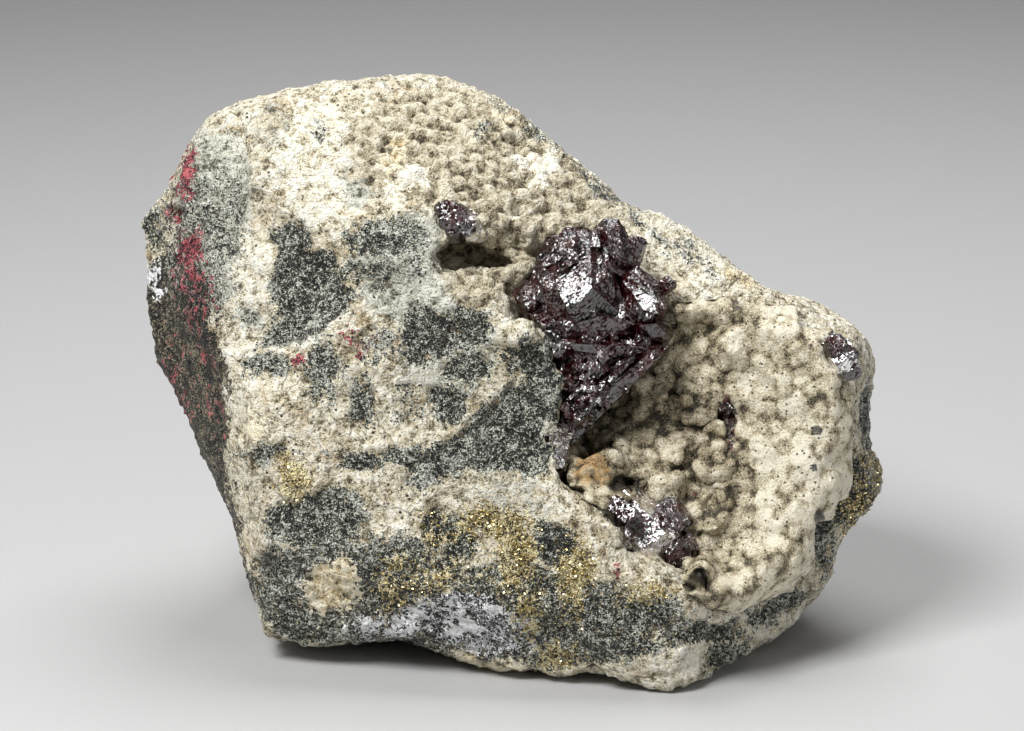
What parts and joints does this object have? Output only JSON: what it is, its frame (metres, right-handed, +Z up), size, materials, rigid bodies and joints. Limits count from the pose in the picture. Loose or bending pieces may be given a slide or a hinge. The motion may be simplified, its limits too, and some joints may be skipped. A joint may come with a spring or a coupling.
{
  "type": "proustite crystals on rock matrix",
  "caption": "Mineral hand specimen: dark red proustite crystals in the hollow of a pale carbonate rock, with a lumpy carbonate crust and a flat base to rest on.",
  "frame": {"origin": "on the surface it rests on, under the middle of its box", "axes": "+Z up, +X to the right along the longest side, the crystals face -Y"},
  "size_m": [0.0754, 0.055, 0.0545],
  "materials": {
    "matrix": "matte",
    "crust": "satin",
    "proustite": "gloss",
    "pyrite": "satin"
  },
  "bodies": {
    "root": {"matrix": "matrix", "carbonate_crust": "crust", "proustite_main": "proustite", "proustite_lower": "proustite", "proustite_upper": "proustite", "proustite_right": "proustite", "proustite_seam": "proustite"}
  },
  "joints": []
}
